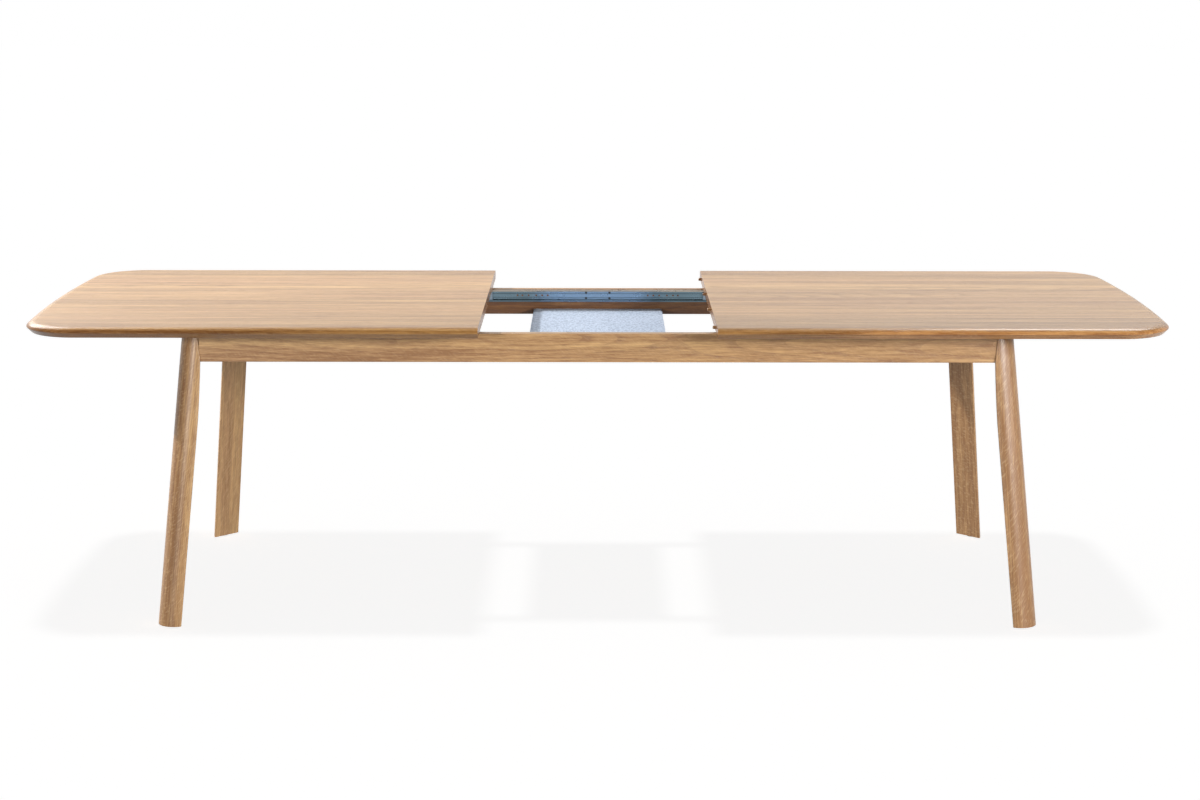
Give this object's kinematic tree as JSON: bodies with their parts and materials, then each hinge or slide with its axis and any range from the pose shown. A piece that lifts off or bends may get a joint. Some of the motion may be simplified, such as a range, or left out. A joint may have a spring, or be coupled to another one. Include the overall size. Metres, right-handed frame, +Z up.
{
  "type": "extending dining table",
  "caption": "Oak dining table whose top is split across the middle: the halves draw apart on ball slides over an apron frame with splayed half-round legs, to take a loose leaf.",
  "frame": {"origin": "on the floor under the middle of the table", "axes": "+X along the table to the right, +Y to the back, +Z up"},
  "size_m": [2.79, 1, 0.75],
  "materials": {
    "oak_top": "clear matt oil on straight-grained oak",
    "oak_frame": "clear matt oil on oak",
    "oak_leg": "clear matt oil on oak with ray fleck",
    "runner_wood": "planed hardwood",
    "dowel_wood": "turned beech",
    "board": "oak-faced board",
    "felt": "blue-grey heather wool felt",
    "zinc_steel": "bright zinc plate",
    "ball_steel": "polished",
    "fastener_steel": "zinc plate",
    "insert_brass": "bare",
    "nylon": "moulded"
  },
  "bodies": {
    "frame": {"front_apron": "oak_frame", "back_apron": "oak_frame", "left_end_apron": "oak_frame", "right_end_apron": "oak_frame", "front_slide_channel": "zinc_steel", "back_slide_channel": "zinc_steel", "channel_screws": "fastener_steel", "corner_screws": "fastener_steel", "leg_bolts": "fastener_steel", "leg_washers": "fastener_steel", "leg_inserts": "insert_brass", "glide_pads": "nylon", "leaf_board": "board", "leaf_felt": "felt", "board_screws": "fastener_steel", "front_left_leg": "oak_leg", "front_left_foot_glide": "nylon", "front_left_corner_block": "runner_wood", "front_right_leg": "oak_leg", "front_right_foot_glide": "nylon", "front_right_corner_block": "runner_wood", "back_left_leg": "oak_leg", "back_left_foot_glide": "nylon", "back_left_corner_block": "runner_wood", "back_right_leg": "oak_leg", "back_right_foot_glide": "nylon", "back_right_corner_block": "runner_wood"},
    "left_half": {"left_top": "oak_top", "left_runner_screws": "fastener_steel", "left_rail_screws": "fastener_steel", "front_left_runner": "runner_wood", "front_left_rail": "zinc_steel", "back_left_runner": "runner_wood", "back_left_rail": "zinc_steel"},
    "left_cages": {"front_left_ball_cage": "zinc_steel", "front_left_balls": "ball_steel", "back_left_ball_cage": "zinc_steel", "back_left_balls": "ball_steel"},
    "right_half": {"right_top": "oak_top", "right_runner_screws": "fastener_steel", "right_rail_screws": "fastener_steel", "front_right_runner": "runner_wood", "front_right_rail": "zinc_steel", "back_right_runner": "runner_wood", "back_right_rail": "zinc_steel", "dowel_pins": "dowel_wood"},
    "right_cages": {"front_right_ball_cage": "zinc_steel", "front_right_balls": "ball_steel", "back_right_ball_cage": "zinc_steel", "back_right_balls": "ball_steel"}
  },
  "joints": [
    {"name": "left_half_slide", "type": "slide", "parent": "frame", "child": "left_half", "axis": [1, 0, 0], "range_m": [0, 0.2848]},
    {"name": "right_half_slide", "type": "slide", "parent": "frame", "child": "right_half", "axis": [-1, 0, 0], "range_m": [0, 0.2848]},
    {"name": "left_cage_slide", "type": "slide", "parent": "frame", "child": "left_cages", "axis": [1, 0, 0], "range_m": [0, 0.1424]},
    {"name": "right_cage_slide", "type": "slide", "parent": "frame", "child": "right_cages", "axis": [-1, 0, 0], "range_m": [0, 0.1424]}
  ],
  "couplings": [
    {"joint": "left_cage_slide", "follows": "left_half_slide", "ratio": 0.5},
    {"joint": "right_cage_slide", "follows": "right_half_slide", "ratio": 0.5}
  ]
}
